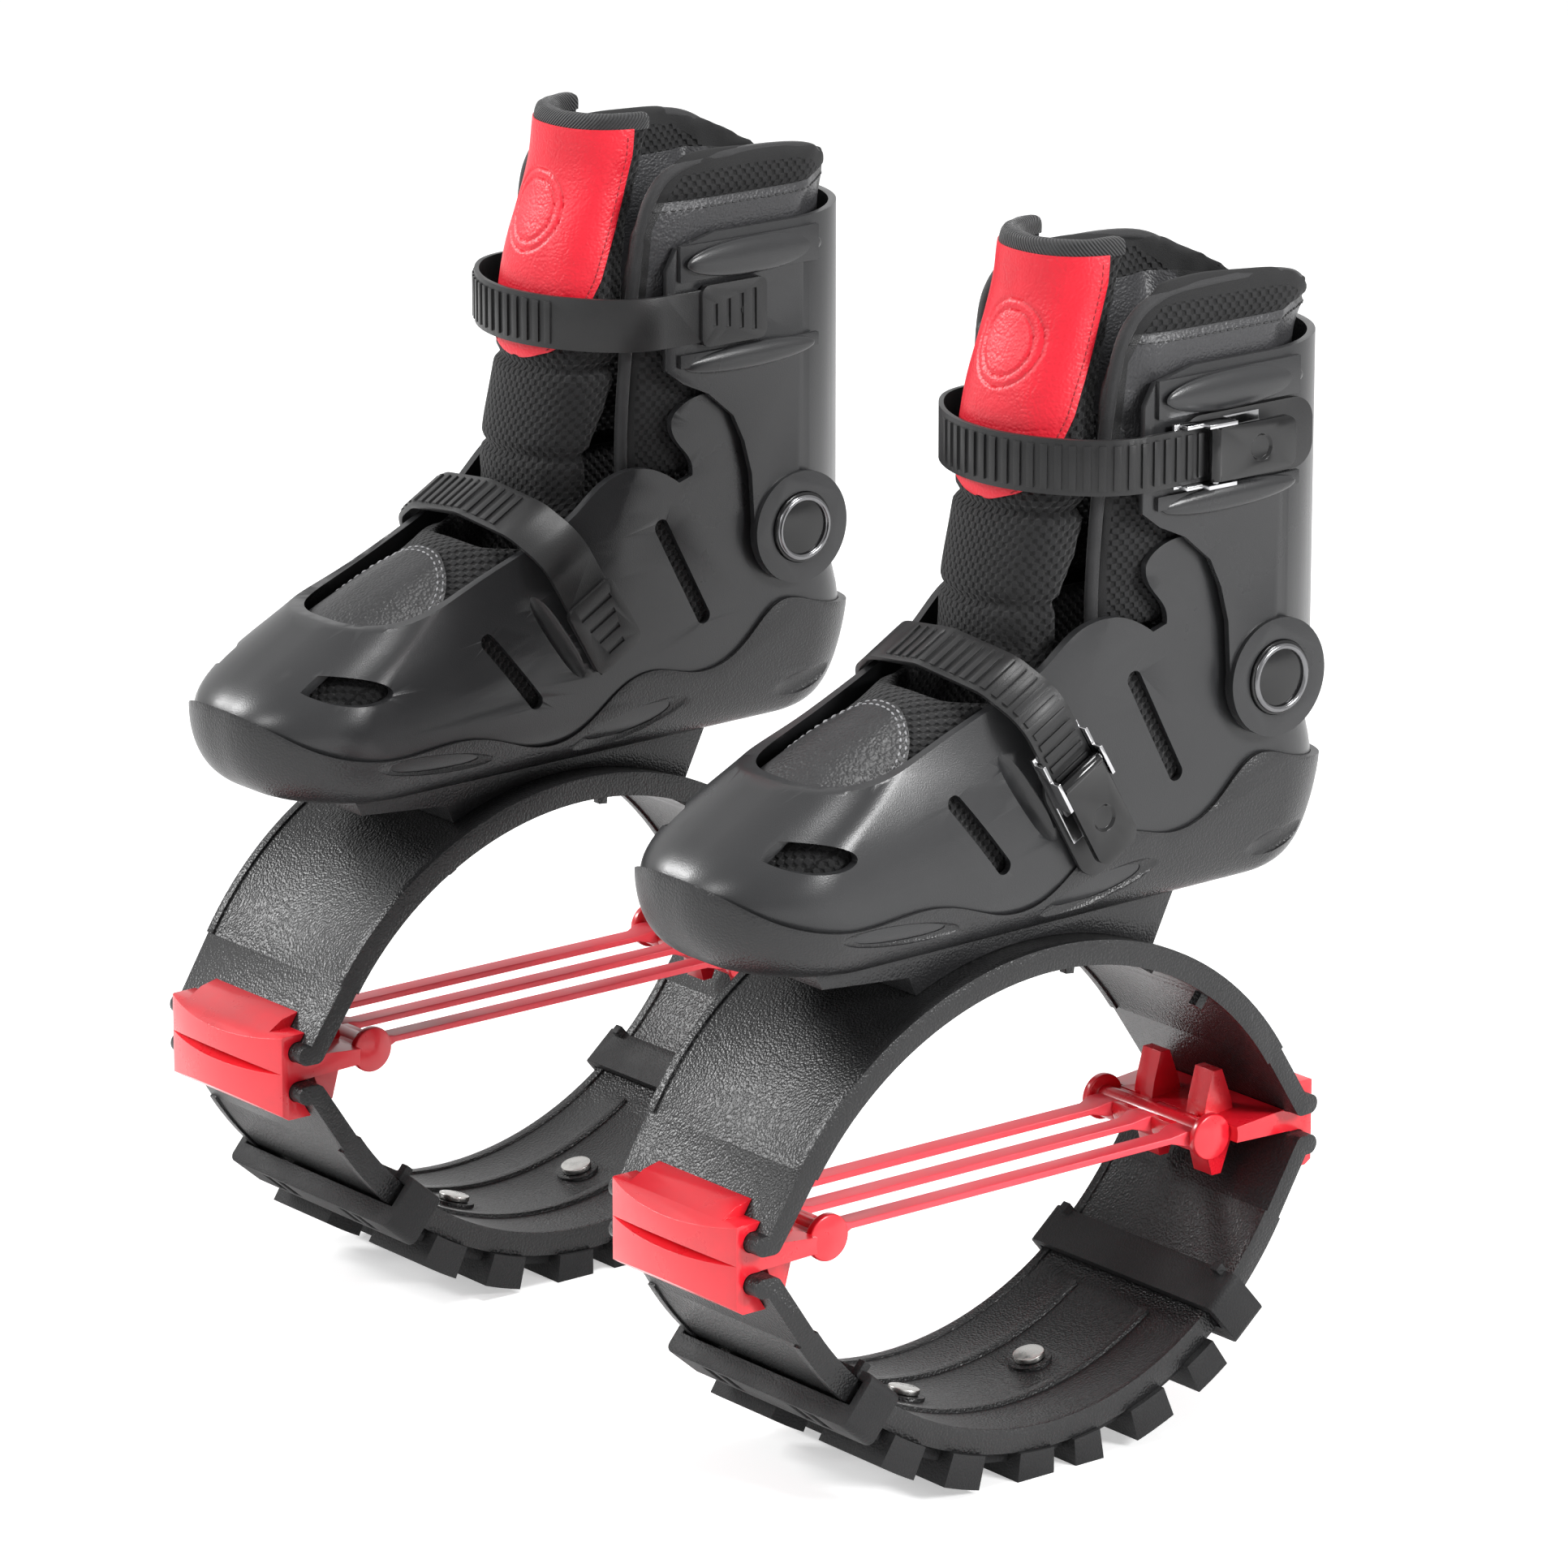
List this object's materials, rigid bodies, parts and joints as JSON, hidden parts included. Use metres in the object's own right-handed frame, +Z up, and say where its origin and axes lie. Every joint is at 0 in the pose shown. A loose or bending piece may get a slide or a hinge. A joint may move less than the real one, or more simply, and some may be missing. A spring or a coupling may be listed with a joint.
{
  "type": "jumping shoes",
  "caption": "Pair of rebound boots: padded hard-shell boots with ratchet straps on sprung plastic arch frames held by red clips and tension straps, with rubber treads.",
  "frame": {"origin": "on the ground, midway between the pair of boots, centre of the pair's bounding box", "axes": "+Z up, toes point along -Y, the wearer's left boot is on +X"},
  "size_m": [0.4272, 0.3158, 0.4887],
  "materials": {
    "arch_plastic": "pebble-grained black plastic",
    "tread_rubber": "dull black rubber",
    "red_plastic": "glossy bright red plastic",
    "rivet_steel": "bright zinc-plated steel",
    "sole_rubber": "fine-textured dark grey rubber",
    "shell_plastic": "satin dark grey plastic",
    "liner_mesh": "black padded mesh",
    "black_leather": "black grained leather",
    "red_leather": "red grained leather",
    "strap_plastic": "satin black flexible plastic",
    "buckle_steel": "polished steel",
    "lever_plastic": "gloss black plastic",
    "cap_plastic": "gloss black plastic"
  },
  "bodies": {
    "standing_frames": {"left_lower_arch": "arch_plastic", "left_tread": "tread_rubber", "left_tread_rivets": "rivet_steel", "left_front_band": "tread_rubber", "left_rear_band": "tread_rubber", "right_lower_arch": "arch_plastic", "right_tread": "tread_rubber", "right_tread_rivets": "rivet_steel", "right_front_band": "tread_rubber", "right_rear_band": "tread_rubber"},
    "left_boot": {"left_upper_arch": "arch_plastic", "left_sole_mount": "sole_rubber", "left_sole_bolts": "rivet_steel", "left_sole": "sole_rubber", "left_foot_shell": "shell_plastic", "left_foot_liner": "liner_mesh", "left_toe_patch": "black_leather", "left_pivot_caps": "cap_plastic", "left_instep_ladder": "strap_plastic", "left_instep_plate": "strap_plastic", "left_instep_buckle": "buckle_steel"},
    "left_clips": {"left_front_clip": "red_plastic", "left_rear_clip": "red_plastic", "left_front_rod": "red_plastic", "left_rear_rod": "red_plastic", "left_tension_straps": "red_plastic"},
    "left_cuff": {"left_cuff": "shell_plastic", "left_collar_liner": "liner_mesh", "left_tongue": "liner_mesh", "left_tongue_patch": "red_leather", "left_cuff_ladder": "strap_plastic", "left_cuff_plate": "strap_plastic", "left_cuff_buckle": "buckle_steel"},
    "left_cuff_lever": {"left_cuff_lever": "lever_plastic"},
    "left_instep_lever": {"left_instep_lever": "lever_plastic"},
    "right_boot": {"right_upper_arch": "arch_plastic", "right_sole_mount": "sole_rubber", "right_sole_bolts": "rivet_steel", "right_sole": "sole_rubber", "right_foot_shell": "shell_plastic", "right_foot_liner": "liner_mesh", "right_toe_patch": "black_leather", "right_pivot_caps": "cap_plastic", "right_instep_ladder": "strap_plastic", "right_instep_plate": "strap_plastic", "right_instep_buckle": "buckle_steel"},
    "right_clips": {"right_front_clip": "red_plastic", "right_rear_clip": "red_plastic", "right_front_rod": "red_plastic", "right_rear_rod": "red_plastic", "right_tension_straps": "red_plastic"},
    "right_cuff": {"right_cuff": "shell_plastic", "right_collar_liner": "liner_mesh", "right_tongue": "liner_mesh", "right_tongue_patch": "red_leather", "right_cuff_ladder": "strap_plastic", "right_cuff_plate": "strap_plastic", "right_cuff_buckle": "buckle_steel"},
    "right_cuff_lever": {"right_cuff_lever": "lever_plastic"},
    "right_instep_lever": {"right_instep_lever": "lever_plastic"}
  },
  "joints": [
    {"name": "left_bounce", "type": "slide", "parent": "standing_frames", "child": "left_boot", "axis": [0, 0, -1], "range_m": [0, 0.03], "stiffness_N_per_m": 27000, "springref_m": -0.002, "deforming": ["left_upper_arch", "left_lower_arch"]},
    {"name": "left_clip_drop", "type": "slide", "parent": "standing_frames", "child": "left_clips", "axis": [0, 0, -1], "range_m": [0, 0.015]},
    {"name": "left_cuff_flex", "type": "hinge", "parent": "left_boot", "child": "left_cuff", "pos_m": [0.15, 0.109, 0.30597], "axis": [1, 0, 0], "range_deg": [-5, 12], "stiffness_Nm_per_rad": 5, "deforming": ["left_collar_liner", "left_tongue", "left_tongue_patch"]},
    {"name": "left_cuff_lever_lift", "type": "hinge", "parent": "left_cuff", "child": "left_cuff_lever", "pos_m": [0.2107, 0.067, 0.40395], "axis": [0, 0, -1], "range_deg": [0, 75]},
    {"name": "left_instep_lever_lift", "type": "hinge", "parent": "left_boot", "child": "left_instep_lever", "pos_m": [0.2083, 0.002, 0.2868], "axis": [0, -0.866, -0.5], "range_deg": [0, 75]},
    {"name": "right_bounce", "type": "slide", "parent": "standing_frames", "child": "right_boot", "axis": [0, 0, -1], "range_m": [0, 0.03], "stiffness_N_per_m": 27000, "springref_m": -0.002, "deforming": ["right_upper_arch", "right_lower_arch"]},
    {"name": "right_clip_drop", "type": "slide", "parent": "standing_frames", "child": "right_clips", "axis": [0, 0, -1], "range_m": [0, 0.015]},
    {"name": "right_cuff_flex", "type": "hinge", "parent": "right_boot", "child": "right_cuff", "pos_m": [-0.15, 0.109, 0.30597], "axis": [1, 0, 0], "range_deg": [-5, 12], "stiffness_Nm_per_rad": 5, "deforming": ["right_collar_liner", "right_tongue", "right_tongue_patch"]},
    {"name": "right_cuff_lever_lift", "type": "hinge", "parent": "right_cuff", "child": "right_cuff_lever", "pos_m": [-0.2107, 0.067, 0.40395], "axis": [0, 0, 1], "range_deg": [0, 75]},
    {"name": "right_instep_lever_lift", "type": "hinge", "parent": "right_boot", "child": "right_instep_lever", "pos_m": [-0.2083, 0.002, 0.2868], "axis": [0, 0.866, 0.5], "range_deg": [0, 75]}
  ],
  "couplings": [
    {"joint": "left_clip_drop", "follows": "left_bounce", "ratio": 0.5},
    {"joint": "right_clip_drop", "follows": "right_bounce", "ratio": 0.5}
  ]
}
